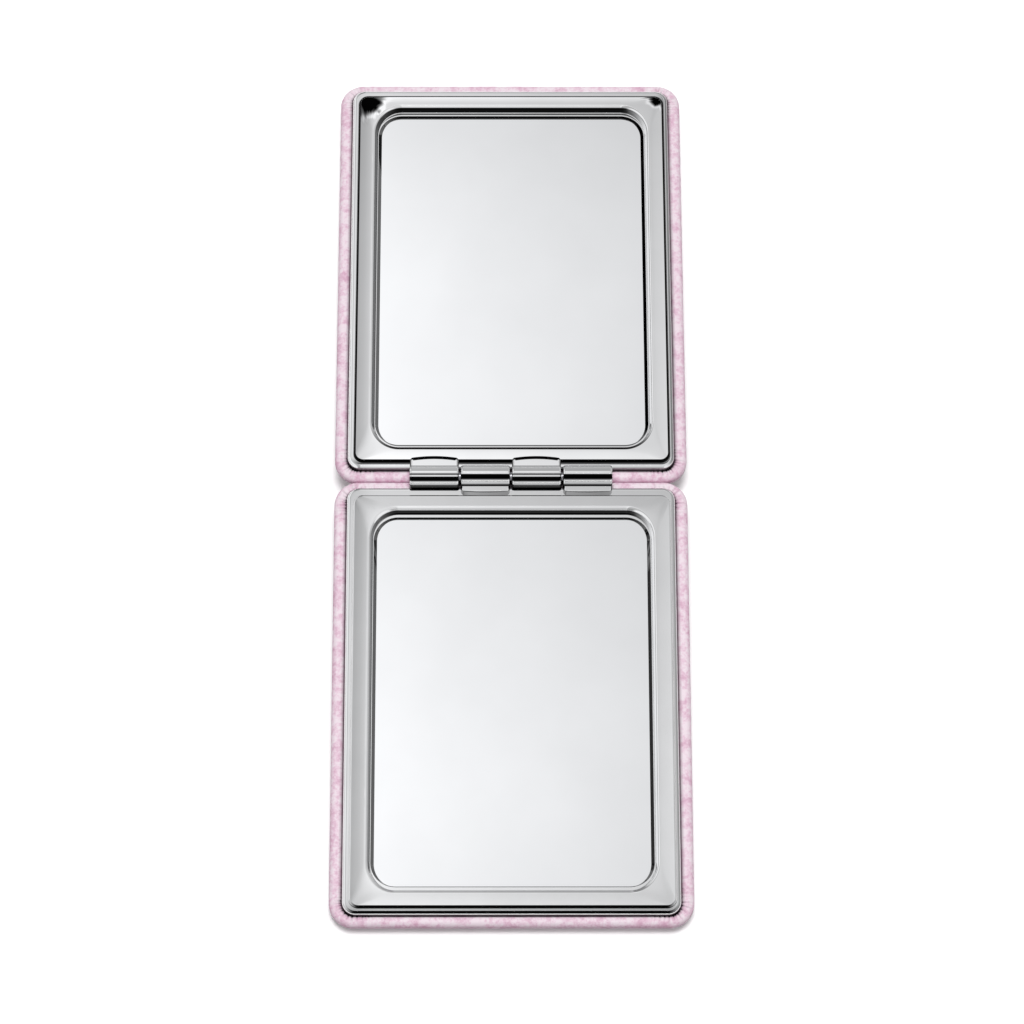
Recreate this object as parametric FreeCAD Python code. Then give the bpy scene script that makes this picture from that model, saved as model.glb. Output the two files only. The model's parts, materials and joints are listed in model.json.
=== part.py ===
import FreeCAD, Part
import math
import os

from FreeCAD import Placement, Rotation, Vector

# Compact mirror lying open a little past flat: two like halves on one hinge.
# A half is built about its hinge axis, which lies in the plane where the halves close:
# X runs along the axis, +Y to the free edge and +Z the way the mirror faces.
# All lengths are in millimetres.

# Case
case_width = 65.0
case_length = 85.0
case_corner_radius = 4.4
least_corner_radius = 0.1
over_open_angle = 4.2
closing_gap = 0.5
edge_clearance = 0.08

# Leather cover
leather_thickness = 0.55
leather_edge_width = 2.0
leather_drop = 1.8
leather_shoulder = 1.0
leather_shoulder_share = 0.3
leather_side_flat = 0.25
turn_in_depth = 1.3

# Layers behind the mirror
glass_thickness = 1.3
tape_thickness = 0.2
tape_inset = 1.5
shell_floor = 0.5
foam_thickness = 0.7

# Frame
bead_width = 1.36
bead_drop = 0.55
bead_radius = 0.5
riser_run = 0.2
rim_corner_radius = 1.9
rim_width = 2.73
recess_depth = 2.2
recess_bevel_run = 0.3
recess_bevel_drop = 0.12
recess_wall_run = 0.62
ledge_width = 0.3
ledge_rise = 0.1
lip_run = 0.25
lip_rise = 0.85
window_corner_radius = 4.1
glass_overlap = 0.9
glass_clearance = 0.1
frame_wall = 1.1
frame_skin = 1.1
rebate_wall = 0.8

# Hinge
knuckle_count = 4
knuckle_pitch = 9.4
knuckle_gap = 0.38
knuckle_radius = 2.05
knuckle_end_bevel = 0.3
knuckle_room = 0.2
arm_groove = 0.17
arm_top = 0.4
arm_clearance = 0.55
arm_corner_radius = 0.5
arm_edge_bevel = 0.2
pin_radius = 0.8
pin_clearance = 0.05
pin_press = 0.01
pin_inset = 0.3
pin_chamfer = 0.2

# Magnet
magnet_length = 12.0
magnet_clearance = 0.2
magnet_height = 1.5
rib_thickness = 0.8

# Fits and cuts
fit_gap = 0.05
overrun = 1.0
pick_tolerance = 0.02

# Heights in a half, down from the closing plane
rim_z = -closing_gap / 2
glass_z = rim_z - recess_depth
tape_z = glass_z - glass_thickness
floor_z = tape_z - tape_thickness
foam_z = floor_z - shell_floor
lining_z = foam_z - foam_thickness
back_z = lining_z - leather_thickness
bead_z = rim_z - bead_drop
crest_z = rim_z - leather_drop
leather_back_radius = crest_z - back_z - leather_shoulder - leather_side_flat

# The tilt of each half, and the room that the leather edges need beside the axis
tilt = math.radians(over_open_angle / 2)
edge_depth = -back_z - leather_back_radius
edge_roll = leather_back_radius * (1 - math.cos(tilt))
edge_offset = (edge_clearance + edge_depth * math.sin(tilt) + edge_roll) / math.cos(tilt)

# The axis stands so high that the free edges of the leather touch the table
foot_reach = case_length - leather_back_radius
axis_height = foot_reach * math.sin(tilt) + edge_depth * math.cos(tilt) + leather_back_radius

hinge_length = knuckle_count * knuckle_pitch - knuckle_gap
knuckle_width = knuckle_pitch - knuckle_gap


class Outline:
    """A rounded rectangle about the half's middle line, seen from +Z."""

    def __init__(self, width, low_y, high_y, radius):
        self.width = width
        self.low_y = low_y
        self.high_y = high_y
        self.radius = radius

    def grown(self, distance):
        return Outline(
            self.width + 2 * distance,
            self.low_y - distance,
            self.high_y + distance,
            max(self.radius + distance, least_corner_radius),
        )


case_outline = Outline(case_width, edge_offset, case_length, case_corner_radius)
foam_outline = case_outline.grown(-leather_back_radius)
frame_outline = case_outline.grown(-leather_edge_width)
rim_outline = frame_outline.grown(riser_run - bead_width)
rim_outline.radius = rim_corner_radius
recess_run = lip_run + ledge_width + recess_wall_run + recess_bevel_run
window_outline = frame_outline.grown(-bead_width - rim_width - recess_run)
window_outline.radius = window_corner_radius
glass_outline = window_outline.grown(glass_overlap)
tape_outline = glass_outline.grown(-tape_inset)
rebate_outline = glass_outline.grown(glass_clearance)
channel_outer = frame_outline.grown(-frame_wall)
channel_inner = rebate_outline.grown(rebate_wall)
channel_roof = rim_z - frame_skin
channel_width = channel_outer.high_y - channel_inner.high_y
magnet_width = channel_width - 2 * magnet_clearance
arm_reach = rim_outline.low_y - arm_groove
arm_low_z = crest_z + arm_clearance


def rounded_face(corners):
    """Face in the XZ plane through corners (x, z, radius), each rounded by its radius."""
    points = [Vector(x, 0, z) for x, z, radius in corners]
    bends = []
    for index, (x, z, radius) in enumerate(corners):
        point = points[index]
        if radius == 0:
            bends.append([point])
            continue
        before = (points[index - 1] - point).normalize()
        after = (points[(index + 1) % len(points)] - point).normalize()
        half_angle = before.getAngle(after) / 2
        bisector = (before + after).normalize()
        centre = point + bisector * (radius / math.sin(half_angle))
        reach = radius / math.tan(half_angle)
        bends.append([point + before * reach, centre - bisector * radius, point + after * reach])
    edges = []
    for index, bend in enumerate(bends):
        if len(bend) > 1:
            edges.append(Part.Arc(*bend).toShape())
        following = bends[(index + 1) % len(bends)]
        edges.append(Part.LineSegment(bend[-1], following[0]).toShape())
    return Part.Face(Part.Wire(edges))


def swept(outline, section):
    """Solid whose edge has the section all round the outline.

    A section's corner is (offset out of the outline, z, rounding). A section that reaches
    in to the corners' own centres is filled across the middle.
    """
    radius = outline.radius
    face = rounded_face([(radius + offset, z, rounding) for offset, z, rounding in section])
    half_x = outline.width / 2 - radius
    half_y = (outline.high_y - outline.low_y) / 2 - radius
    middle_y = (outline.high_y + outline.low_y) / 2
    corner_signs = [(1, -1), (1, 1), (-1, 1), (-1, -1)]
    pieces = []
    for quarter, (sign_x, sign_y) in enumerate(corner_signs):
        angle = 90 * quarter
        centre = Vector(sign_x * half_x, middle_y + sign_y * half_y, 0)
        turned = face.copy()
        turned.Placement = Placement(centre, Rotation(Vector(0, 0, 1), angle))
        along = Rotation(Vector(0, 0, 1), angle).multVec(Vector(0, 1, 0))
        run = 2 * half_y if quarter % 2 == 0 else 2 * half_x
        pieces.append(turned.extrude(along * run))
        pieces.append(turned.revolve(centre, Vector(0, 0, 1), -90))
    inner = [z for offset, z, rounding in section if math.isclose(offset, -radius)]
    if inner:
        corner = Vector(-half_x, middle_y - half_y, min(inner))
        pieces.append(Part.makeBox(2 * half_x, 2 * half_y, max(inner) - min(inner), corner))
    return pieces[0].fuse(pieces[1:]).removeSplitter().Solids[0]


def plate(outline, low_z, high_z):
    """Flat plate of the outline."""
    middle = -outline.radius
    return swept(outline, [(middle, low_z, 0), (0, low_z, 0), (0, high_z, 0), (middle, high_z, 0)])


def block(outline, low_z, high_z):
    """Plate of the outline's size with square corners."""
    corner = Vector(-outline.width / 2, outline.low_y, low_z)
    return Part.makeBox(outline.width, outline.high_y - outline.low_y, high_z - low_z, corner)


def barrel_room():
    """Space that the knuckles turn in, with room to spare."""
    length = hinge_length + 2 * knuckle_room
    start = Vector(-length / 2, 0, 0)
    return Part.makeCylinder(knuckle_radius + knuckle_room, length, start, Vector(1, 0, 0))


def leather_cover():
    """Skin over the back, rolled over the shell's rim and tucked down beside the frame."""
    middle = -case_outline.radius
    inner = fit_gap - leather_edge_width
    tucked = inner + leather_thickness
    under_crest = crest_z - leather_thickness
    turn_in_z = crest_z - turn_in_depth
    shoulder_break = leather_shoulder * leather_shoulder_share
    section = [
        (middle, back_z, 0),
        (0, back_z, leather_back_radius),
        (0, crest_z - leather_shoulder, 0),
        (-shoulder_break, crest_z - shoulder_break, 0),
        (-leather_shoulder, crest_z, 0),
        (inner, crest_z, 0),
        (inner, turn_in_z, 0),
        (tucked, turn_in_z, 0),
        (tucked, under_crest, 0),
        (-leather_thickness, under_crest, 0),
        (-leather_thickness, back_z + leather_back_radius, 0),
        (-leather_back_radius, lining_z, 0),
        (middle, lining_z, 0),
    ]
    return swept(case_outline, section).cut(barrel_room())


def shell():
    """Tray with a floor under the mirror and a rim inside the rolled leather."""
    middle = -case_outline.radius
    outer = -leather_thickness - fit_gap
    inner = 2 * fit_gap + leather_thickness - leather_edge_width
    rim_top = crest_z - leather_thickness
    back_bevel = leather_back_radius - leather_thickness - foam_thickness
    section = [
        (middle, foam_z, 0),
        (outer - back_bevel, foam_z, 0),
        (outer, foam_z + back_bevel, 0),
        (outer, rim_top, 0),
        (inner, rim_top, 0),
        (inner, floor_z, 0),
        (middle, floor_z, 0),
    ]
    return swept(case_outline, section).cut(barrel_room())


def frame_blank():
    """The frame before its recess: outer wall and bead, with the flat rim raised on them."""
    middle = -frame_outline.radius
    bead = [
        (middle, floor_z, 0),
        (0, floor_z, 0),
        (0, bead_z, bead_radius),
        (middle, bead_z, 0),
    ]
    middle = -rim_outline.radius
    rim = [
        (middle, floor_z, 0),
        (0, floor_z, 0),
        (0, bead_z, 0),
        (-riser_run, rim_z, 0),
        (middle, rim_z, 0),
    ]
    return swept(frame_outline, bead).fuse(swept(rim_outline, rim)).removeSplitter()


def recess():
    """Cut from the rim down to the glass: bevelled edge, sloped wall, ledge and lip."""
    middle = -window_outline.radius
    lip_top = glass_z + lip_rise
    ledge_end = lip_run + ledge_width
    wall_top = ledge_end + recess_wall_run
    section = [
        (middle, glass_z - overrun, 0),
        (0, glass_z - overrun, 0),
        (0, glass_z, 0),
        (lip_run, lip_top, 0),
        (ledge_end, lip_top + ledge_rise, 0),
        (wall_top, rim_z - recess_bevel_drop, 0),
        (recess_run, rim_z, 0),
        (recess_run, rim_z + overrun, 0),
        (middle, rim_z + overrun, 0),
    ]
    return swept(window_outline, section)


def magnet_place():
    """Middle of the frame's channel at the free edge, at the channel's roof."""
    return Vector(0, (channel_outer.high_y + channel_inner.high_y) / 2, channel_roof)


def magnet():
    """Bar glued to the channel's roof."""
    place = magnet_place()
    corner = place - Vector(magnet_length / 2, magnet_width / 2, magnet_height)
    return Part.makeBox(magnet_length, magnet_width, magnet_height, corner)


def magnet_ribs():
    """Two ribs across the channel that keep the magnet in its place."""
    width = channel_width + 2 * fit_gap
    ribs = []
    for side in (-1, 1):
        middle_x = side * (magnet_length / 2 + fit_gap + rib_thickness / 2)
        place = magnet_place() + Vector(middle_x, 0, fit_gap)
        corner = place - Vector(rib_thickness / 2, width / 2, magnet_height + fit_gap)
        ribs.append(Part.makeBox(rib_thickness, width, magnet_height + 2 * fit_gap, corner))
    return ribs


def edges_at(solid, test):
    """The solid's edges whose bounding box passes the test."""
    return [edge for edge in solid.Edges if test(edge.BoundBox)]


def knuckle(slot):
    """One barrel of the hinge with the arm that carries it on the frame."""
    left = slot * knuckle_pitch - hinge_length / 2
    barrel = Part.makeCylinder(knuckle_radius, knuckle_width, Vector(left, 0, 0), Vector(1, 0, 0))
    ends = [edge for edge in barrel.Edges if edge.BoundBox.XLength < knuckle_end_bevel]
    barrel = barrel.makeChamfer(knuckle_end_bevel, ends)
    arm = Part.makeBox(knuckle_width, arm_reach, arm_top - arm_low_z, Vector(left, 0, arm_low_z))
    far_y = arm_reach - pick_tolerance
    uprights = edges_at(arm, lambda box: box.ZLength > arm_top and box.YMin > far_y)
    arm = arm.makeFillet(arm_corner_radius, uprights)
    top_z = arm_top - pick_tolerance
    rims = edges_at(arm, lambda box: box.ZMin > top_z and box.YMax > pick_tolerance)
    arm = arm.makeChamfer(arm_edge_bevel, rims)
    return barrel.fuse(arm)


def bore(radius):
    """Hole for the pin through the knuckles."""
    start = Vector(-hinge_length / 2 - overrun, 0, 0)
    return Part.makeCylinder(radius, hinge_length + 2 * overrun, start, Vector(1, 0, 0))


def frame(bore_radius):
    """Moulded frame: recess and lip in front, rebate and channel behind, two knuckles."""
    low_z = floor_z - overrun
    channel = block(channel_outer, low_z, channel_roof).cut(block(channel_inner, low_z, channel_roof))
    hollows = [recess(), plate(rebate_outline, low_z, glass_z), channel, barrel_room()]
    moulding = frame_blank().cut(hollows)
    knuckles = [knuckle(slot) for slot in range(0, knuckle_count, 2)]
    moulding = moulding.fuse(knuckles + magnet_ribs())
    return moulding.cut(bore(bore_radius)).removeSplitter().Solids[0]


def hinge_pin():
    """Pin on the hinge axis, a little short of the outer knuckles' ends."""
    length = hinge_length - 2 * pin_inset
    pin = Part.makeCylinder(pin_radius, length, Vector(-length / 2, 0, 0), Vector(1, 0, 0))
    ends = [edge for edge in pin.Edges if edge.BoundBox.XLength < pin_chamfer]
    return pin.makeChamfer(pin_chamfer, ends)


def half_pieces(bore_radius):
    """The pieces of one half by name."""
    return {
        "frame": frame(bore_radius),
        "mirror": plate(glass_outline, tape_z, glass_z),
        "mirror_tape": plate(tape_outline, floor_z, tape_z),
        "shell": shell(),
        "foam_pad": plate(foam_outline, lining_z, foam_z),
        "leather_cover": leather_cover(),
        "magnet": magnet(),
    }


def save(name, shape, place):
    """Write one piece, set in its place, to its own file."""
    placed = shape.copy()
    placed.Placement = place.multiply(placed.Placement)
    placed.exportStep(os.path.join("parts", name + ".step"))
    volume = round(placed.Volume, 2)
    print(name, "solids", len(placed.Solids), "valid", placed.isValid(), "volume", volume)


def main():
    os.makedirs("parts", exist_ok=True)
    axis = Vector(0, 0, axis_height)
    lean = over_open_angle / 2
    lid_place = Placement(axis, Rotation(Vector(1, 0, 0), -lean))
    turned = Rotation(Vector(1, 0, 0), lean).multiply(Rotation(Vector(0, 0, 1), 180))
    base_place = Placement(axis, turned)
    for name, shape in half_pieces(pin_radius + pin_clearance).items():
        save("lid_" + name, shape, lid_place)
    for name, shape in half_pieces(pin_radius - pin_press).items():
        save("base_" + name, shape, base_place)
    save("hinge_pin", hinge_pin(), base_place)


main()
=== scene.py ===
import json
import math
import random

import bpy
from mathutils import Matrix, Vector, noise


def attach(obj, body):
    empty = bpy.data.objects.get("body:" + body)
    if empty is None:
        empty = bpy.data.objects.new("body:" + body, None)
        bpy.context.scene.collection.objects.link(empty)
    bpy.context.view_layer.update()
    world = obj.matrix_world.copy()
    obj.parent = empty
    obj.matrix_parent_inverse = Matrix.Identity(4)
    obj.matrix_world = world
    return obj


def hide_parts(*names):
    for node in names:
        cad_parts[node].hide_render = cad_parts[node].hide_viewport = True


# Compact mirror, dressed: chrome frames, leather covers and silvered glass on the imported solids.
# A half is drawn about its hinge axis in millimetres, with +Y to the free edge and +Z the way
# the mirror faces, and is then set in its place in metres.

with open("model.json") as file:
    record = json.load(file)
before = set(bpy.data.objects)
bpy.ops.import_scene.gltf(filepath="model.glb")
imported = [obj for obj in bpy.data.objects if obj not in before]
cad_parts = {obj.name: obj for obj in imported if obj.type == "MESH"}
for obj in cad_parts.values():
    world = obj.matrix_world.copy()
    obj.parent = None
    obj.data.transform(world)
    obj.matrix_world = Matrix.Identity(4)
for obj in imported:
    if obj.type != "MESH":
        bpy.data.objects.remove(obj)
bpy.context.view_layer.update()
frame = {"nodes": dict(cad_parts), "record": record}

hinge = frame["record"]["behaviour"]["joints"][0]
axis_height = hinge["pos_m"][2]
lean = math.radians(hinge["range_deg"][1] - 180) / 2

lift = Matrix.Translation((0, 0, axis_height))
shrink = Matrix.Scale(0.001, 4)
places = {
    "lid": lift @ Matrix.Rotation(-lean, 4, "X") @ shrink,
    "base": lift @ Matrix.Rotation(lean, 4, "X") @ Matrix.Rotation(math.pi, 4, "Z") @ shrink,
}

# Sizes of a half, in millimetres: the case and its layers as in the solids, the chrome's
# roundings and the hinge's arms finer than there
case_width = 65.0
case_low_y = 0.203
case_high_y = 85.0
case_corner = 4.4
edge_width = 2.0
rim_z = -0.25
bead_z = -0.8
crest_z = -2.05
glass_z = -2.45
back_z = -5.7
shoulder_radius = 1.0
back_radius = 2.4
crease_radius = 0.3
turn_in_depth = 1.3
turn_in_z = crest_z - turn_in_depth
bead_width = 1.36
bead_radius = 0.68
riser_run = 0.2
rim_corner = 1.9
rim_flat = 2.73
rim_narrower = 0.17
rim_edge_radius = 0.42
rim_fall = (math.radians(1), math.radians(0.15))
window_corner = 4.1
recess_run = 1.47
window_inset = bead_width + rim_flat + recess_run
ledge_z = -1.88
knuckle_pitch = 9.4
knuckle_width = 9.02
knuckle_radius = 2.048
knuckle_end = 0.4
bore_radius = 0.85
bore_edge = 0.1
bore_depth = 1
# An arm's end as (distance from the axis, run of its nose, arch, painted shade of its nose)
arm_ends = {"lid": (4.15, 0.72, 0.4, 1.0), "base": (3.08, 0.12, 0.1, 0.6)}
arm_top = 0.32
arm_nose = 0.17
arm_low = -1.5
arm_edge = 0.35
arm_corner = 0.6
arm_root = 0.2
arm_reach = 2
arm_side_round = 0.3
nose_foot_round = 0.08
nose_top_round = 0.15
arm_side_shade = 0.85
least_corner = 0.05
close_pitch = 0.12

# The recess from the rim down to the glass as (offset from the window, height, rounding):
# longer at the two ends of the window than along its sides
recess_ends = [
    (4.35, rim_z, 0),
    (1.42, rim_z, 0.8),
    (1.15, ledge_z, 0.12),
    (0.95, ledge_z, 0),
    (0.62, ledge_z, 0),
    (0.32, ledge_z, 0.15),
    (0.2, glass_z, 0),
]
recess_sides = [
    (4.35, rim_z, 0),
    (1.04, rim_z, 0.5),
    (0.5, ledge_z, 0.04),
    (0.46, ledge_z, 0),
    (0.43, ledge_z, 0),
    (0.4, ledge_z, 0.02),
    (-0.2, glass_z, 0),
]

# How far the moulding lies off the middle line, to the right of the camera
frame_shift = 0.18
# How much wider the leather's crest is at the free end, the hinge end, the left and the right
crest_more = {"lid": (0.0, 0.0, 0.35, 0.35), "base": (-0.15, -0.45, 0.35, 0.35)}
# How far the rim's edge lies out from its place at the free end and at the hinge end
rim_out = {"lid": (-0.2, 0.15), "base": (0.3, 0.0)}

# Shares of painted shade at the free end, the hinge end, the left and the right side. In order
# from the outside: the bead's round, the shelf at the rim's foot, the step up to the rim, the
# round down into the recess, the brow where that turns steep, the recess's wall, the wall's
# foot, the edge of the lip and the gap under it
bead_shades = {"lid": (0, 0, 0, 0.6), "base": (1, 0, 0, 0.4)}
shelf_shades = {"lid": (0, 0.86, 0, 0.55), "base": (0.4, 0, 0, 0)}
rim_shades = {"lid": (1, 1, 1, 1), "base": (1, 0.2, 0.12, 0.15)}
recess_shades = {"lid": (0, 1, 0, 0), "base": (0, 0, 0, 0)}
brow_shades = {"lid": (1, 0, 0.85, 0), "base": (0, 1, 0.4, 0)}
wall_shades = {"lid": (1, 0, 0.9, 0), "base": (0, 1, 0.7, 0)}
foot_shades = {"lid": (0, 0, 0, 0), "base": (0, 1, 0, 0)}
lip_shades = {"lid": (0, 0.75, 0, 0), "base": (0, 0, 0, 0)}
gap_shades = {"lid": (1, 1, 0.7, 1), "base": (1, 1, 0.75, 0.8)}

# Degrees of steepness at which those shades start, are full, end and are gone
bead_bands = {"lid": (8, 13, 58, 64), "base": (2, 6, 50, 56)}
recess_band = (2, 4, 62, 70)
rim_start = (2, 4)
brow_starts = {"lid": (42, 52), "base": (60, 68)}
bead_foot_start = (60, 74)
bead_foot_shade = 0.8

# A barrel by degrees from its top towards the front: the painted dark band, the painted shade at
# its foot, the painted thin line on the lid's barrels, and where and how far the normals of the
# base's barrels lean
front_band = (24, 27, 49, 54)
barrel_feet = {"lid": (72, 80), "base": (60, 68)}
line_band = (7, 10, 16, 20)
line_shade = 0.95
lean_band = (-2, 9, 28, 70)
barrel_lean = 18

# Sink marks in the rim's flat as (x, y, reach, tilt), where the plating dips towards a corner,
# with a painted dark reflection where a mark dips most
sink_marks_and_painted_dark = {
    "lid": [(-27.5, 80.2, 4.7, math.radians(7)), (28.2, 80.7, 2.4, math.radians(6.5))],
    "base": [],
}
# Shares of a sink's depth where its painted dark reflection starts and is full
sink_painted_dark_start = (0.3, 0.5)
corner_flatness = 0.85

# Pleats of the gathered leather, measured along a corner: where they start and stop, and the
# least and most of their depth, width, length and distance
corner_length = 5.4
pleat_start = -3.2
pleat_stop = 8.6
pleat_first = 0.5
pleat_fade = 4
pleat_depth = (0.11, 0.24)
pleat_width = (0.09, 0.15)
pleat_length = (1.0, 2.0)
pleat_step = (0.5, 1.05)

# The leather's gap beside the frame, the flat left at its back, the inset where the back closes
# on a line, its crown, the swell of the base's shoulder at the hinge and its unevenness
leather_gap = 0.03
back_flat = 6
back_inset = 24
back_crown = 0.15
shoulder_swell = 0.16
crest_wander = 0.025
fold_reach = 2.4
fold_drop = 1.4
fine_pitch = 0.25
# Its painted shade: at the crease, over this width, down beside the frame, in the folds, and all
# dark where it passes under the hinge
crease_shade = 0.9
crease_width = 0.45
tuck_shade = 1.4
fold_shade = 1.5
hinge_half_width = 18.6
hinge_reach = 2.95


class Outline:
    """A rounded rectangle about the half's middle line, seen from +Z."""

    def __init__(self, width, low_y, high_y, radius, shift=0.0):
        self.width = width
        self.shift = shift
        self.low_y = low_y
        self.high_y = high_y
        self.radius = radius

    def grown(self, distance, radius=None):
        corner = max(self.radius + distance, least_corner) if radius is None else radius
        low_y, high_y = self.low_y - distance, self.high_y + distance
        return Outline(self.width + 2 * distance, low_y, high_y, corner, self.shift)

    def points(self, corner_steps, long_steps, short_steps, close=0):
        """Points round the outline as (x, y, normal x, normal y), anticlockwise.

        close adds that many points on the sides next to each corner, close_pitch apart.
        """
        half_x = self.width / 2 - self.radius
        half_y = (self.high_y - self.low_y) / 2 - self.radius
        middle = (self.high_y + self.low_y) / 2
        signs = [(1, -1), (1, 1), (-1, 1), (-1, -1)]
        corners = []
        for quarter, (sign_x, sign_y) in enumerate(signs):
            arc = []
            for step in range(corner_steps + 1):
                angle = math.radians(90) * (quarter - 1 + step / corner_steps)
                nx, ny = math.cos(angle), math.sin(angle)
                x = self.shift + sign_x * half_x + self.radius * nx
                y = middle + sign_y * half_y + self.radius * ny
                arc.append((x, y, nx, ny))
            corners.append(arc)
        points = []
        for quarter, arc in enumerate(corners):
            points.extend(arc)
            x0, y0, nx, ny = arc[-1]
            x1, y1 = corners[(quarter + 1) % 4][0][:2]
            steps = long_steps if quarter % 2 == 0 else short_steps
            run = math.hypot(x1 - x0, y1 - y0)
            first = [close_pitch * step for step in range(1, close + 1)]
            held = close_pitch * close
            along = first + [held + (run - 2 * held) * step / steps for step in range(1, steps)]
            along += [run - distance for distance in reversed(first)]
            for distance in along:
                share = distance / run
                points.append((x0 + (x1 - x0) * share, y0 + (y1 - y0) * share, nx, ny))
        return points


def rounded_path(corners, arc_steps):
    """Runs of (offset, z, normal offset, normal z) along corners (offset, z, radius).

    Each straight piece and each rounding is a run of its own. The normal points to the right
    of the way that the path goes.
    """
    points = [Vector(corner[:2]) for corner in corners]
    ends = []
    arcs = []
    for index, (*_, radius) in enumerate(corners):
        point = points[index]
        if radius == 0 or index in (0, len(corners) - 1):
            ends.append((point, point))
            arcs.append(None)
            continue
        before = (points[index - 1] - point).normalized()
        after = (points[index + 1] - point).normalized()
        half = before.angle(after) / 2
        reach = radius / math.tan(half)
        centre = point + (before + after).normalized() * (radius / math.sin(half))
        ends.append((point + before * reach, point + after * reach))
        arcs.append((centre, radius))
    runs = []
    for index in range(len(corners)):
        if arcs[index]:
            centre, radius = arcs[index]
            first = ends[index][0] - centre
            last = ends[index][1] - centre
            way = points[index] - points[index - 1]
            right = Vector((way.y, -way.x))
            side = 1 if first.dot(right) > 0 else -1
            turn = first.angle_signed(last)
            run = []
            for step in range(arc_steps + 1):
                spoke = first.copy()
                spoke.rotate(Matrix.Rotation(-turn * step / arc_steps, 2))
                normal = spoke.normalized() * side
                run.append((*(centre + spoke), *normal))
            runs.append(run)
        if index + 1 < len(corners):
            start, end = ends[index][1], ends[index + 1][0]
            way = (end - start).normalized()
            normal = (way.y, -way.x)
            runs.append([(*start, *normal), (*end, *normal)])
    return runs


def new_object(mesh, material, half, node):
    """Object of a mesh that rides on a half and stands for one of its nodes."""
    thing = bpy.data.objects.new(mesh.name, mesh)
    bpy.context.scene.collection.objects.link(thing)
    mesh.materials.append(material)
    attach(thing, half)
    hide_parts(node)
    return thing


class Builder:
    """Collects faces with a normal and a share of shade at each of their corners."""

    def __init__(self):
        self.places = []
        self.index = {}
        self.faces = []
        self.normals = []
        self.shades = []

    def vertex(self, place):
        key = tuple(round(value, 5) for value in place)
        if key not in self.index:
            self.index[key] = len(self.places)
            self.places.append(place)
        return self.index[key]

    def face(self, corners):
        """Adds a face of (place, normal, shade) corners, without those that coincide."""
        kept = []
        used = set()
        for place, normal, shade in corners:
            number = self.vertex(place)
            if number not in used:
                used.add(number)
                kept.append((number, normal, shade))
        if len(kept) > 2:
            self.faces.append([number for number, normal, shade in kept])
            self.normals.extend(normal for number, normal, shade in kept)
            self.shades.extend(shade for number, normal, shade in kept)

    def strip(self, rings, closed=True):
        for low, high in zip(rings, rings[1:]):
            count = len(low)
            for here in range(count if closed else count - 1):
                after = (here + 1) % count
                self.face([low[here], low[after], high[after], high[here]])

    def mesh(self, name, half, own_normals):
        """The mesh in its half's place; shade and slope are attributes that the materials read."""
        mesh = bpy.data.meshes.new(name)
        mesh.from_pydata(self.places, [], self.faces)
        mesh.shade_smooth()
        mesh.attributes.new("shade", "FLOAT", "CORNER").data.foreach_set("value", self.shades)
        slopes = [1 - normal[2] for normal in self.normals]
        mesh.attributes.new("slope", "FLOAT", "CORNER").data.foreach_set("value", slopes)
        mesh.transform(places[half])
        if own_normals:
            turn = places[half].to_quaternion()
            mesh.normals_split_custom_set([(turn @ Vector(n)).normalized() for n in self.normals])
        return mesh


def ring(outline, z, normal, steps):
    """Ring of (place, normal, shade) at one height of an outline."""
    across, up = normal
    points = outline.points(*steps)
    return [((x, y, z), (nx * across, ny * across, up), 0.0) for x, y, nx, ny in points]


def mixed(values, nx, ny, half):
    """Mix of the values for free end, hinge end, left and right by the way an edge faces."""
    free, hinge, left, right = values
    rightwards = nx if half == "lid" else -nx
    return ny * ny * (free if ny > 0 else hinge) + nx * nx * (right if rightwards > 0 else left)


def between(points, ends, sides, shade):
    """Ring off an outline's points: one station at its two ends, another along its sides.

    shade takes the steepness in degrees and the way that the edge faces.
    """
    row = []
    for x, y, nx, ny in points:
        o, z, across, up = (a + (b - a) * nx * nx for a, b in zip(ends, sides))
        normal = Vector((nx * across, ny * across, up)).normalized()
        steep = math.degrees(math.acos(min(max(normal.z, -1), 1)))
        row.append(((x + nx * o, y + ny * o, z), tuple(normal), shade(steep, nx, ny)))
    return row


def fade(value, low, high):
    """0 up to low, 1 from high and straight between them."""
    return min(max((value - low) / (high - low), 0), 1)


def band(value, start, full, end, clear):
    """0 up to start, 1 from full to end and 0 again from clear."""
    return fade(value, start, full) * (1 - fade(value, end, clear))


def even(share):
    """The same shade all over."""
    return lambda steep, nx, ny: share


case_outline = Outline(case_width, case_low_y, case_high_y, case_corner)


def outlines(half):
    """Outer edge of a frame, edge of its rim and its window."""
    free, hinge, side = crest_more[half][:3]
    shift = frame_shift if half == "lid" else -frame_shift
    outer = case_outline.grown(-edge_width)
    rim = outer.grown(riser_run - bead_width, rim_corner)
    window = outer.grown(-window_inset, window_corner)
    free_out, hinge_out = rim_out[half]
    rim_width = rim.width - rim_narrower
    rim = Outline(rim_width, rim.low_y - hinge_out, rim.high_y + free_out, rim_corner, shift)
    window = Outline(window.width, window.low_y, window.high_y, window_corner, shift)
    outer = Outline(outer.width - 2 * side, outer.low_y + hinge, outer.high_y - free, outer.radius)
    return outer, rim, window


def add(tree, kind, inputs=None, **settings):
    """New node of a tree, with its settings and inputs; an input may be another's output."""
    node = tree.nodes.new(kind)
    for name, value in settings.items():
        setattr(node, name, value)
    for name, value in (inputs or {}).items():
        socket = node.inputs[name]
        if isinstance(value, bpy.types.NodeSocket):
            tree.links.new(value, socket)
        else:
            socket.default_value = value
    return node


def sums(tree, operation, *values):
    """Output of one Math node."""
    node = add(tree, "ShaderNodeMath", operation=operation)
    for socket, value in zip(node.inputs, values):
        if isinstance(value, bpy.types.NodeSocket):
            tree.links.new(value, socket)
        else:
            socket.default_value = value
    return node.outputs[0]


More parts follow.
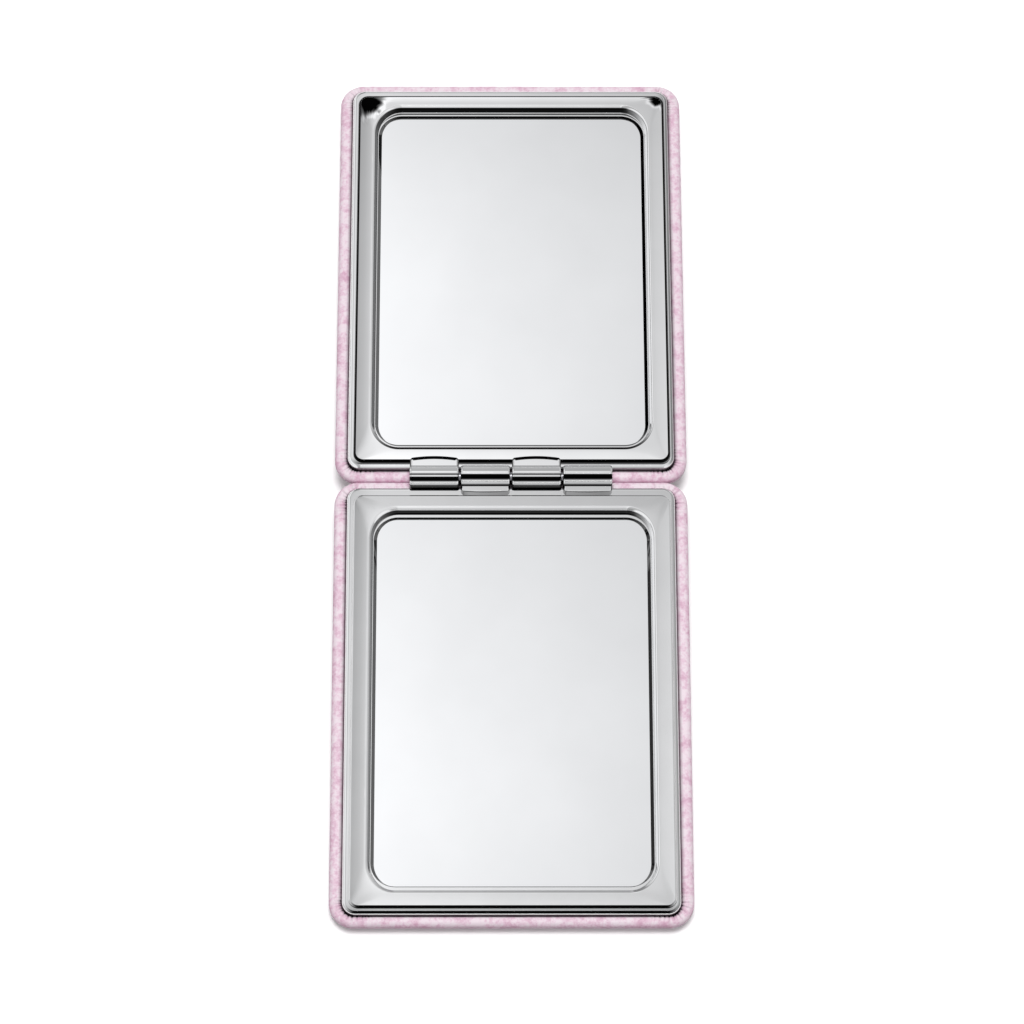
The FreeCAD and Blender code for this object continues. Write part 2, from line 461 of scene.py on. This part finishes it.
def step_up(tree, value, low, high):
    """0 below low, 1 above high and smooth between them."""
    node = add(tree, "ShaderNodeMapRange", interpolation_type="SMOOTHSTEP", clamp=True)
    tree.links.new(value, node.inputs["Value"])
    node.inputs["From Min"].default_value = low
    node.inputs["From Max"].default_value = high
    return node.outputs["Result"]


def material(name):
    """New material with its node tree and its shader, without other nodes."""
    made = bpy.data.materials.new(name)
    made.use_nodes = True
    tree = made.node_tree
    tree.nodes.clear()
    shader = add(tree, "ShaderNodeBsdfPrincipled")
    output = add(tree, "ShaderNodeOutputMaterial")
    tree.links.new(shader.outputs["BSDF"], output.inputs["Surface"])
    return made, tree, shader


def cloud(tree, scale, detail, rough, stretch=(1, 1, 1)):
    """Noise in the object's own coordinates, about one patch per 1/scale metres."""
    place = add(tree, "ShaderNodeTexCoord").outputs["Object"]
    mapping = add(tree, "ShaderNodeMapping", {"Vector": place, "Scale": stretch})
    return add(
        tree,
        "ShaderNodeTexNoise",
        {"Vector": mapping.outputs[0], "Scale": scale, "Detail": detail, "Roughness": rough},
    ).outputs[0]


def ramp(tree, value, stops):
    """Colours along a value, from stops of (position, colour)."""
    node = add(tree, "ShaderNodeValToRGB", {"Fac": value})
    elements = node.color_ramp.elements
    while len(elements) < len(stops):
        elements.new(1)
    for element, (position, colour) in zip(elements, stops):
        element.position = position
        element.color = (*colour, 1)
    return node.outputs["Color"]


def grey(value):
    return (value, value, value)


def shaded(tree, colour, dark):
    """The colour, going to a dark one where the mesh's painted shade says so."""
    mix = add(tree, "ShaderNodeMix", data_type="RGBA")
    share = add(tree, "ShaderNodeAttribute", attribute_name="shade").outputs["Fac"]
    tree.links.new(share, mix.inputs["Factor"])
    tree.links.new(colour, mix.inputs["A"])
    mix.inputs["B"].default_value = (*dark, 1)
    return mix.outputs["Result"]


def metal(name, colour, low_rough, high_rough, scale, bump):
    """Polished or drawn metal with faint unevenness, and painted shade where its mesh carries it.
    """
    made, tree, shader = material(name)
    shader.inputs["Metallic"].default_value = 1
    tint = cloud(tree, scale, 3, 0.5)
    dark = tuple(0.96 * part for part in colour)
    # Painted shade: the mesh's shade darkens the colour into lines and bands that stand for shade
    # and dark reflections
    toned = shaded(tree, ramp(tree, tint, [(0.3, dark), (0.7, colour)]), grey(0.002))
    tree.links.new(toned, shader.inputs["Base Color"])
    fine = cloud(tree, scale * 9, 4, 0.6)
    limits = {"Value": fine, "To Min": low_rough, "To Max": high_rough}
    spread = add(tree, "ShaderNodeMapRange", limits)
    tree.links.new(spread.outputs["Result"], shader.inputs["Roughness"])
    if bump:
        relief = add(tree, "ShaderNodeBump", {"Height": fine, "Strength": bump, "Distance": 0.0001})
        tree.links.new(relief.outputs["Normal"], shader.inputs["Normal"])
    return made


def plain(name, dark, light, scale, rough):
    """Dull material of two near colours in fine patches, with a light relief."""
    made, tree, shader = material(name)
    patches = cloud(tree, scale, 4, 0.6)
    tree.links.new(ramp(tree, patches, [(0.35, dark), (0.65, light)]), shader.inputs["Base Color"])
    shader.inputs["Roughness"].default_value = rough
    relief = add(tree, "ShaderNodeBump", {"Height": patches, "Strength": 0.2, "Distance": 0.0002})
    tree.links.new(relief.outputs["Normal"], shader.inputs["Normal"])
    return made


def leather_material():
    """Pink leather with a cloudy print of pale and deeper patches, fine grain and a low sheen."""
    made, tree, shader = material("pink_leather")
    patches = cloud(tree, 480, 2, 0.5)
    flecks = cloud(tree, 1500, 4, 0.7)
    coarse_half = sums(tree, "MULTIPLY", patches, 0.5)
    fine_half = sums(tree, "MULTIPLY", flecks, 0.5)
    colour = ramp(
        tree,
        sums(tree, "ADD", coarse_half, fine_half),
        [
            (0.36, (0.66, 0.4, 0.53)),
            (0.44, (0.74, 0.515, 0.63)),
            (0.5, (0.8, 0.62, 0.715)),
            (0.57, (0.84, 0.72, 0.785)),
        ],
    )
    # Painted shade: deeper pink down the rolled edge, where it turns away from the light
    slope = add(tree, "ShaderNodeAttribute", attribute_name="slope").outputs["Fac"]
    deeper = add(tree, "ShaderNodeMix", data_type="RGBA", blend_type="MULTIPLY")
    tree.links.new(step_up(tree, slope, 0.1, 0.9), deeper.inputs["Factor"])
    tree.links.new(colour, deeper.inputs["A"])
    deeper.inputs["B"].default_value = (0.98, 0.86, 0.93, 1)
    colour = deeper.outputs["Result"]
    # Painted shade: dark at the crease, beside the frame, in the folds and under the hinge
    tree.links.new(shaded(tree, colour, (0.03, 0.018, 0.026)), shader.inputs["Base Color"])
    place = add(tree, "ShaderNodeTexCoord").outputs["Object"]
    grain = add(tree, "ShaderNodeTexVoronoi", {"Scale": 2600.0}, feature="SMOOTH_F1")
    tree.links.new(place, grain.inputs["Vector"])
    low_grain = sums(tree, "MULTIPLY", grain.outputs["Distance"], 0.6)
    height = sums(tree, "ADD", low_grain, flecks)
    relief = add(tree, "ShaderNodeBump", {"Height": height, "Strength": 0.35, "Distance": 0.00005})
    tree.links.new(relief.outputs["Normal"], shader.inputs["Normal"])
    spread = add(tree, "ShaderNodeMapRange", {"Value": flecks, "To Min": 0.42, "To Max": 0.62})
    tree.links.new(spread.outputs["Result"], shader.inputs["Roughness"])
    shader.inputs["Specular IOR Level"].default_value = 0.3
    shader.inputs["Sheen Weight"].default_value = 0.05
    return made


chrome = metal("polished_chrome", (0.855, 0.855, 0.855), 0.01, 0.03, 120, 0)
silver = metal("silvered_glass", (0.96, 0.965, 0.97), 0.0, 0.006, 60, 0)
# Painted shade: the pin's steel is kept dark, for the shade in the gaps between the knuckles
steel = metal("drawn_steel", (0.34, 0.34, 0.36), 0.25, 0.38, 900, 0.1)
leather = leather_material()


def plateau(builder, outer, inner, ways, marks):
    """Flat of the rim between two rings, falling off a little towards its outer edge."""
    parts = 10
    rings = []
    for part in range(parts + 1):
        share = part / parts
        slope = math.tan(rim_fall[0] + (rim_fall[1] - rim_fall[0]) * share)
        row = []
        for (start, *_), (end, *_), (*_, nx, ny) in zip(outer, inner, ways):
            place = Vector(start).lerp(Vector(end), share)
            place.z = start[2] + (end[2] - start[2]) * share * (2 - share)
            # The corners lie flatter than the straight runs
            slant = slope * (1 - corner_flatness * abs(2 * nx * ny))
            tilt = Vector((nx * slant, ny * slant, 1))
            shade = 0.0
            for x, y, reach, angle in marks:
                wander = 1 + 0.3 * noise.noise((place.x * 0.9, place.y * 0.9, 5.0))
                off = math.hypot(place.x - x, place.y - y) / (reach * wander)
                depth = max(0, 1 - off * off) ** 2
                tilt.y += math.tan(angle) * depth
                # Painted dark reflection where a sink mark dips most
                shade = max(shade, fade(depth, *sink_painted_dark_start))
            row.append((tuple(place), tuple(tilt.normalized()), shade))
        rings.append(row)
    builder.strip(rings)


def frame_piece(half):
    """Chrome frame: outer wall, bead, raised rim and the stepped recess down to the glass.

    Its grooves and the lines that the photograph shows in it are painted as shade.
    """
    builder = Builder()
    steps = (24, 40, 30)
    bead_arc, recess_arc = 16, 12
    below_crest = 1.2
    low_z = crest_z - below_crest
    drop = 0.02
    fall_run = 3
    shelf_reach = 2
    frame_outline, rim_outline, window_outline = outlines(half)

    def lay(outline, runs, shade):
        for run in runs:
            rings = []
            for o, z, no, nz in run:
                station = (0, z, no, nz)
                rings.append(between(outline.grown(o).points(*steps), station, station, shade))
            builder.strip(rings)

    def by_side(table):
        return lambda steep, nx, ny: mixed(table[half], nx, ny, half)

    def bead_shade(steep, nx, ny):
        round_shade = band(steep, *bead_bands[half]) * mixed(bead_shades[half], nx, ny, half)
        return max(bead_foot_shade * fade(steep, *bead_foot_start), round_shade)

    def rim_shade(steep, nx, ny):
        return fade(steep, *rim_start) * mixed(rim_shades[half], nx, ny, half)

    def recess_shade(steep, nx, ny):
        brow = fade(steep, *brow_starts[half]) * mixed(brow_shades[half], nx, ny, half)
        return max(band(steep, *recess_band) * mixed(recess_shades[half], nx, ny, half), brow)

    wall_path = [(0, low_z, 0), (0, bead_z, bead_radius), (-shelf_reach, bead_z, 0)]
    wall = rounded_path(wall_path, bead_arc)
    lay(frame_outline, wall[:-1], bead_shade)
    shelf = frame_outline.grown(wall[-1][0][0])
    flat = (0, bead_z, 0, 1)
    shelf_shade = by_side(shelf_shades)
    outer = between(shelf.points(*steps), flat, flat, shelf_shade)
    builder.strip([outer, between(rim_outline.points(*steps), flat, flat, shelf_shade)])
    top = rim_z - drop
    rise = fall_run * math.tan(rim_fall[0])
    rim_path = [
        (0, bead_z, 0),
        (-riser_run, top, rim_edge_radius),
        (-fall_run - riser_run, top + rise, 0),
    ]
    rim = rounded_path(rim_path, bead_arc)
    lay(rim_outline, rim[:-1], rim_shade)
    ends = rounded_path(recess_ends, recess_arc)
    sides = rounded_path(recess_sides, recess_arc)
    points = window_outline.points(*steps)
    o, z = rim[-1][0][:2]
    outer = ring(rim_outline.grown(o), z, (0, 1), steps)
    inner = between(points, ends[1][0], sides[1][0], even(0.0))
    plateau(builder, outer, inner, points, sink_marks_and_painted_dark[half])
    # Shades of the recess's runs after the flat: round, wall, foot, ledge, lip and gap
    foot_shade, gap_shade = by_side(foot_shades), by_side(gap_shades)
    shades = [recess_shade, by_side(wall_shades), foot_shade, foot_shade, even(0.0)]
    shades += [by_side(lip_shades), gap_shade, gap_shade]
    for end_run, side_run, shade in zip(ends[1:], sides[1:], shades):
        builder.strip([between(points, end, side, shade) for end, side in zip(end_run, side_run)])
    end_low, side_low = (*ends[-1][1][:2], 0, -1), (*sides[-1][1][:2], 0, -1)
    bottom = between(points, end_low, side_low, even(0.0))
    builder.strip([bottom, ring(frame_outline, low_z, (0, -1), steps)])
    for slot in (0, 2):
        knuckle(builder, slot, half)
    mesh = builder.mesh(half + "_frame_chrome", half, True)
    new_object(mesh, chrome, half, half + "_frame")


def barrel_skin(half, degrees):
    """Lean of a barrel's normals and its shade, by degrees from its top towards its arm.

    The base's barrels seem to lie a little flat towards their arms. A painted dark band runs along
    a barrel's front, and its foot is painted dark for the shade of what it stands over.
    """
    if degrees > 180:
        degrees -= 360
    if half == "base":
        lean = barrel_lean * band(degrees, *lean_band)
        front = degrees + lean
        foot = fade(degrees, *barrel_feet[half])
    else:
        lean = 0.0
        front = -degrees
        line = line_shade * band(front, *line_band)
        foot = max(fade(front, *barrel_feet[half]), line)
    return lean, max(foot, band(front, *front_band))


def knuckle(builder, slot, half):
    """One barrel with rounded ends, bored for the pin, and the arm that carries it."""
    middle = (slot - 1.5) * knuckle_pitch
    half_width = knuckle_width / 2
    path = rounded_path(
        [
            (bore_radius, -half_width + bore_depth, 0),
            (bore_radius, -half_width, bore_edge),
            (knuckle_radius, -half_width, knuckle_end),
            (knuckle_radius, half_width, knuckle_end),
            (bore_radius, half_width, bore_edge),
            (bore_radius, half_width - bore_depth, 0),
        ],
        8,
    )
    # The ends that face another knuckle are painted dark, for the shade they cast on each other
    outside = 0.0 if slot == 0 else 1.0
    shades = [outside] * 3 + [0.0] * 3 + [1.0] * 3
    turns = 120
    for run, shade in zip(path, shades):
        rings = []
        for radius, along, across, way in run:
            circle = []
            for turn in range(turns):
                degrees = 360 * turn / turns
                lean, dark = barrel_skin(half, degrees)
                angle = math.radians(degrees)
                leaned = math.radians(degrees + lean)
                place = (middle + along, radius * math.sin(angle), radius * math.cos(angle))
                normal = (way, across * math.sin(leaned), across * math.cos(leaned))
                circle.append((place, normal, max(shade, dark)))
            rings.append(circle)
        builder.strip([list(reversed(circle)) for circle in rings])
    arm(builder, middle, *arm_ends[half])


def arm(builder, middle, arm_end, nose_run, arm_arch, nose_shade):
    """Arm from the barrel to the frame: arched at its end, sloped there and rounded beside it."""
    half_width = knuckle_width / 2
    corner = arm_corner
    arch = []
    steps, corner_steps, arc_steps = 24, 8, 6
    for step in range(steps + 1):
        x = half_width - corner - (knuckle_width - 2 * corner) * step / steps
        sag = arm_arch * (x / half_width) ** 2
        normal = Vector((2 * arm_arch * x / half_width**2, 1)).normalized()
        arch.append((x, arm_end - sag, *normal))
    sag = arm_arch * ((half_width - corner) / half_width) ** 2
    right = []
    for step in range(corner_steps + 1):
        angle = math.radians(90) * step / corner_steps
        nx, ny = math.cos(angle), math.sin(angle)
        x, y = half_width - corner + corner * nx, arm_end - sag - corner + corner * ny
        right.append((x, y, nx, ny))
    left = [(-x, y, -nx, ny) for x, y, nx, ny in reversed(right)]
    first, last = (half_width, arm_root, 1, 0), (-half_width, arm_root, -1, 0)
    border = [first] + right[:-1] + arch + left[1:] + [last]
    border = [(middle + x, y, nx, ny) for x, y, nx, ny in border]
    nose_path = [
        (0, arm_low, 0),
        (0, arm_nose, nose_foot_round),
        (-nose_run, arm_top, nose_top_round),
        (-arm_reach, arm_top, 0),
    ]
    side_path = [
        (0, arm_low, 0),
        (0, arm_top - arm_edge, arm_side_round),
        (-arm_edge, arm_top, arm_side_round),
        (-arm_reach, arm_top, 0),
    ]
    nose = rounded_path(nose_path, arc_steps)
    beside = rounded_path(side_path, arc_steps)
    for number, (end_run, side_run) in enumerate(zip(nose[:4], beside)):

        # Painted shade on the nose and along the rounded sides
        def shade(steep, nx, ny):
            return nose_shade * ny * ny + arm_side_shade * nx * nx if number < 3 else 0.0

        rings = [between(border, end, side, shade) for end, side in zip(end_run, side_run)]
        builder.strip(rings, closed=False)
    builder.face([(place, (0, 0, 1), 0.0) for place, normal, shade in rings[-1]])


def pleats(seed):
    """Folds of the gathered leather at one corner: (place along it, width, depth, length)."""
    chance = random.Random(seed)
    folds = []
    place = pleat_start + chance.uniform(0, pleat_first)
    while place < pleat_stop:
        outside = max(0, -place, place - corner_length)
        depth = chance.uniform(*pleat_depth) * (1 - outside / pleat_fade)
        width = chance.uniform(*pleat_width)
        folds.append((place, width, depth, chance.uniform(*pleat_length)))
        place += chance.uniform(*pleat_step)
    return folds


def leather_piece(half):
    """Leather skin: crowned back, rounded edge, crest with pleated corners, tucked inner edge."""
    builder = Builder()
    steps = (60, 100, 76, 28)
    arc_steps = 10
    inner = leather_gap - edge_width
    path = rounded_path(
        [
            (-back_flat, back_z, 0),
            (0, back_z, back_radius),
            (0, crest_z, shoulder_radius),
            (inner, crest_z, crease_radius),
            (inner, turn_in_z, 0),
        ],
        arc_steps,
    )
    # The middle of the back closes on a line along the half
    half_width = case_width / 2
    spine_low, spine_high = case_low_y + half_width, case_high_y - half_width
    insets = (half_width, 30, 27, back_inset, 18, 12, 9, 7)
    stations = [(-inset, back_z, 0, -1) for inset in insets]
    for run in path:
        fine = run
        if len(run) == 2:
            start, end = Vector(run[0]), Vector(run[1])
            length = math.hypot(run[1][0] - run[0][0], run[1][1] - run[0][1])
            parts = max(1, round(length / fine_pitch))
            fine = [tuple(start.lerp(end, part / parts)) for part in range(parts + 1)]
        stations.extend(fine if run is path[0] else fine[1:])
    folds = [pleats(7 * (half == "lid") + quarter) for quarter in range(4)]
    rings = []
    for o, z, no, nz in stations:
        from_crease = math.hypot(max(o - inner, 0), max(crest_z - z, 0))
        above_turn_in = z > turn_in_z - 0.01
        tucked = o < inner + crease_radius and above_turn_in
        below = crest_z - z if tucked else 0
        outline = case_outline.grown(max(o, -back_inset))
        closing = fade(-o, back_inset, half_width)
        on_crest = fade(-o, shoulder_radius, -inner) if above_turn_in else 0.0
        row = []
        for number, (x, y, nx, ny) in enumerate(outline.points(*steps)):
            x -= closing * x
            y += closing * (min(max(y, spine_low), spine_high) - y)
            more = on_crest * mixed(crest_more[half], nx, ny, half)
            x, y = x - nx * more, y - ny * more
            push = 0.0
            if half == "base" and ny < 0 and z > crest_z - shoulder_radius:
                push = shoulder_swell * ny * ny * 2 * abs(no) * max(nz, 0)
            fold = 0.0
            if from_crease < fold_reach and z > crest_z - fold_drop:
                fold = fold_depth(folds, number, steps, from_crease)
                wander = abs(noise.noise((x * 0.7, y * 0.7, 3.1 + z)))
                push -= crest_wander * wander + fold
            if nz < -0.99:
                share_x = 1 - (2 * x / case_width) ** 2
                share_y = 1 - (2 * (y - case_low_y) / (case_high_y - case_low_y) - 1) ** 2
                push += back_crown * max(share_x * share_y, 0) ** 2
            # Painted shade: darker at the crease, down beside the frame and in the folds, all dark
            # under the hinge
            shade = crease_shade * max(0, 1 - from_crease / crease_width)
            shade += tuck_shade * below + fold_shade * fold
            if abs(x) < hinge_half_width and math.hypot(y, z) < hinge_reach:
                shade = 1
            place = (x + nx * no * push, y + ny * no * push, z + nz * push)
            row.append((place, (nx * no, ny * no, nz), min(shade, 1)))
        rings.append(row)
    builder.strip(rings)
    mesh = builder.mesh(half + "_leather_skin", half, False)
    skin = new_object(mesh, leather, half, half + "_leather_cover")


def fold_depth(folds, number, steps, from_crease):
    """How far the pleats draw the leather in at a point of a ring."""
    corner_steps, long_steps, short_steps, close = steps
    total = 4 * (corner_steps + 2 * close) + 2 * (long_steps + short_steps)
    depth = 0.0
    start = 0
    for quarter in range(4):
        here = (number - start + total // 2) % total - total // 2
        side_steps = long_steps if quarter % 2 == 0 else short_steps
        if -close <= here <= corner_steps + close:
            along = corner_length * min(max(here / corner_steps, 0), 1)
            along += close_pitch * (min(here, 0) + max(here - corner_steps, 0))
            for place, width, deep, length in folds[quarter]:
                left = max(0.0, 1 - from_crease / length)
                depth += deep * left**0.6 * math.exp(-(((along - place) / width) ** 2))
        start += corner_steps + side_steps + 2 * close
    return depth


for half in ("lid", "base"):
    frame_piece(half)
    leather_piece(half)

nodes = frame["nodes"]
finishes = {
    "frame": chrome,
    "leather_cover": leather,
    "mirror": silver,
    "mirror_tape": plain("foam_tape", (0.55, 0.55, 0.53), (0.68, 0.68, 0.66), 1500, 0.85),
    "shell": plain("tray_plastic", (0.035, 0.035, 0.037), (0.05, 0.05, 0.053), 1800, 0.6),
    "foam_pad": plain("padding", (0.6, 0.58, 0.53), (0.72, 0.7, 0.65), 1600, 0.9),
    "magnet": metal("nickel_magnet", (0.52, 0.51, 0.5), 0.25, 0.4, 700, 0.1),
}
for half in ("lid", "base"):
    for name, finish in finishes.items():
        nodes[half + "_" + name].data.materials.clear()
        nodes[half + "_" + name].data.materials.append(finish)
nodes["hinge_pin"].data.materials.clear()
nodes["hinge_pin"].data.materials.append(steel)


def curve(tree, value, low, high, stops):
    """Grey along a value, from stops of (value, grey), straight between them."""
    top = max(level for place, level in stops)
    limits = {"Value": value, "From Min": low, "From Max": high}
    share = add(tree, "ShaderNodeMapRange", limits, clamp=True)
    shares = [((place - low) / (high - low), grey(level / top)) for place, level in stops]
    colour = ramp(tree, share.outputs["Result"], shares)
    return sums(tree, "MULTIPLY", colour, top)


def blend(tree, share, first, second):
    """First where the share is 0 and second where it is 1."""
    node = add(tree, "ShaderNodeMix", data_type="FLOAT")
    for name, value in (("Factor", share), ("A", first), ("B", second)):
        tree.links.new(value, node.inputs[name])
    return node.outputs["Result"]


# What polished metal sees overhead, as (degrees from straight up towards the front, grey): fine
# where the mirrors and rims look, coarse elsewhere
fine_low, fine_high = -40, -6
fine_panels = [
    (-40, 0.4),
    (-38.5, 0.6),
    (-36.5, 1.0),
    (-35, 1.02),
    (-33.8, 0.78),
    (-33.2, 0.72),
    (-32.85, 0.76),
    (-31.7, 0.83),
    (-30.6, 0.88),
    (-29.2, 0.9),
    (-28.5, 0.89),
    (-27.6, 1.02),
    (-26.3, 1.1),
    (-24.5, 1.06),
    (-22.5, 0.64),
    (-19.6, 0.67),
    (-19.3, 0.8),
    (-17.9, 0.86),
    (-16.4, 0.905),
    (-15.4, 0.915),
    (-14.45, 0.89),
    (-14.1, 0.8),
    (-12, 0.87),
    (-6, 0.88),
]
coarse_panels = [
    (-90, 0.5),
    (-60, 0.5),
    (-40, 0.4),
    (-7, 0.88),
    (0, 0.9),
    (28, 0.88),
    (50, 0.8),
    (60, 0.55),
    (72, 0.5),
    (80, 0.65),
    (95, 0.7),
]
# How that changes sideways, as (degrees to the right, share)
slant_low, slant_high = -5.75, 6.25
slant_shares = [
    (-5.75, 0.6),
    (-3.75, 0.56),
    (-2.75, 0.66),
    (-2.15, 0.77),
    (-1.85, 0.93),
    (-1.6, 1.12),
    (-1.45, 1.135),
    (0.25, 1.0),
    (1.95, 0.885),
    (2.2, 0.87),
    (2.5, 0.81),
    (2.8, 0.85),
    (4.25, 0.92),
    (6.25, 0.9),
]
# What it sees far to the left and to the right, as (height, grey)
left_panel = [(0, 0.03), (0.08, 0.03), (0.2, 0.9), (1, 1.0)]
right_panel = [(0, 0.5), (0.38, 0.6), (0.8, 0.7), (0.87, 1.0), (1, 0.95)]
side_start = (14, 24)
# The lamp that lights everything else: where it stands, how narrow and how strong it is
lamp_along, lamp_up = 0.07, 0.998
lamp_focus = 60.0
lamp_strength = 24.5
ambient = 0.22


def world_light():
    """White round the object; polished metal sees soft panels, the rest a lamp overhead."""
    world = bpy.data.worlds.new("studio")
    bpy.context.scene.world = world
    world.use_nodes = True
    tree = world.node_tree
    tree.nodes.clear()
    way = add(tree, "ShaderNodeTexCoord").outputs["Generated"]
    across, along, up = add(tree, "ShaderNodeSeparateXYZ", {"Vector": way}).outputs
    front = sums(tree, "MULTIPLY", along, -1.0)
    angle = sums(tree, "DEGREES", sums(tree, "ARCTAN2", front, up))
    sideways = sums(tree, "DEGREES", sums(tree, "ARCSINE", across))
    fine = curve(tree, angle, fine_low, fine_high, fine_panels)
    coarse = curve(tree, angle, -100, 100, coarse_panels)
    from_fine = step_up(tree, angle, fine_low - 0.2, fine_low + 0.2)
    past_fine = step_up(tree, angle, fine_high - 0.1, fine_high + 0.1)
    overhead = blend(tree, sums(tree, "SUBTRACT", from_fine, past_fine), coarse, fine)
    slant = curve(tree, sideways, slant_low, slant_high, slant_shares)
    middle = sums(tree, "MULTIPLY", overhead, slant)
    ahead = step_up(tree, front, 0.15, 0.35)
    left = sums(tree, "MAXIMUM", curve(tree, up, 0, 1, left_panel), ahead)
    right = sums(tree, "MAXIMUM", curve(tree, up, 0, 1, right_panel), ahead)
    to_left = step_up(tree, sums(tree, "MULTIPLY", sideways, -1.0), *side_start)
    to_right = step_up(tree, sideways, *side_start)
    seen = blend(tree, to_right, blend(tree, to_left, middle, left), right)
    panels = add(tree, "ShaderNodeBackground", {"Color": (0.995, 1, 1.015, 1), "Strength": seen})
    aim_along = sums(tree, "MULTIPLY", along, lamp_along)
    aim = sums(tree, "ADD", aim_along, sums(tree, "MULTIPLY", up, lamp_up))
    beam = sums(tree, "POWER", sums(tree, "MAXIMUM", aim, 0.0), lamp_focus)
    light = sums(tree, "ADD", sums(tree, "MULTIPLY", beam, lamp_strength), ambient)
    dome = add(tree, "ShaderNodeBackground", {"Strength": light, "Color": (1, 1, 1, 1)})
    white = add(tree, "ShaderNodeBackground", {"Color": (1, 1, 1, 1), "Strength": 1.0})
    rays = add(tree, "ShaderNodeLightPath").outputs
    shiny = sums(tree, "MAXIMUM", rays["Is Glossy Ray"], rays["Is Transmission Ray"])
    first = add(tree, "ShaderNodeMixShader", {0: shiny, 1: dome.outputs[0], 2: panels.outputs[0]})
    is_camera = rays["Is Camera Ray"]
    shaders = {0: is_camera, 1: first.outputs[0], 2: white.outputs[0]}
    second = add(tree, "ShaderNodeMixShader", shaders)
    output = add(tree, "ShaderNodeOutputWorld")
    tree.links.new(second.outputs[0], output.inputs["Surface"])


def floor():
    """Wide white floor; the camera sees it as the background, with the object's shadow on it."""
    half = 3.0
    mesh = bpy.data.meshes.new("floor")
    corners = [(-half, -half, 0), (half, -half, 0), (half, half, 0), (-half, half, 0)]
    mesh.from_pydata(corners, [], [(0, 1, 2, 3)])
    thing = bpy.data.objects.new("floor", mesh)
    bpy.context.scene.collection.objects.link(thing)
    made = bpy.data.materials.new("white_floor")
    made.use_nodes = True
    tree = made.node_tree
    tree.nodes.clear()
    dull = add(tree, "ShaderNodeBsdfDiffuse", {"Color": (0.5, 0.5, 0.5, 1)})
    bright = add(tree, "ShaderNodeBsdfDiffuse", {"Color": (0.98, 0.98, 0.98, 1)})
    glow = add(tree, "ShaderNodeEmission", {"Color": (1, 1, 1, 1), "Strength": 0.13})
    both = add(tree, "ShaderNodeAddShader", {0: bright.outputs[0], 1: glow.outputs[0]})
    rays = add(tree, "ShaderNodeLightPath").outputs
    shiny = sums(tree, "MAXIMUM", rays["Is Glossy Ray"], rays["Is Transmission Ray"])
    seen = sums(tree, "MAXIMUM", rays["Is Camera Ray"], shiny)
    mix = add(tree, "ShaderNodeMixShader", {0: seen, 1: dull.outputs[0], 2: both.outputs[0]})
    output = add(tree, "ShaderNodeOutputMaterial")
    tree.links.new(mix.outputs[0], output.inputs["Surface"])
    mesh.materials.append(made)


def camera():
    """Camera of the photograph: long lens, well above the object, on the base's side."""
    elevation = math.radians(66.5)
    azimuth = math.radians(-0.63)
    distance = 0.805
    target = Vector((0.00018, -0.0071, axis_height))
    data = bpy.data.cameras.new("camera")
    data.sensor_width = 36
    data.lens = 154.5
    data.clip_start = 0.01
    thing = bpy.data.objects.new("camera", data)
    bpy.context.scene.collection.objects.link(thing)
    level = math.cos(elevation)
    back = Vector((math.sin(azimuth) * level, -math.cos(azimuth) * level, math.sin(elevation)))
    right = (Vector((1, 0, 0)) - back * back.x).normalized()
    turn = Matrix((right, back.cross(right), back)).transposed().to_4x4()
    thing.matrix_world = Matrix.Translation(target + back * distance) @ turn
    bpy.context.scene.camera = thing


world_light()
floor()
camera()
bpy.context.scene.view_settings.view_transform = "Standard"
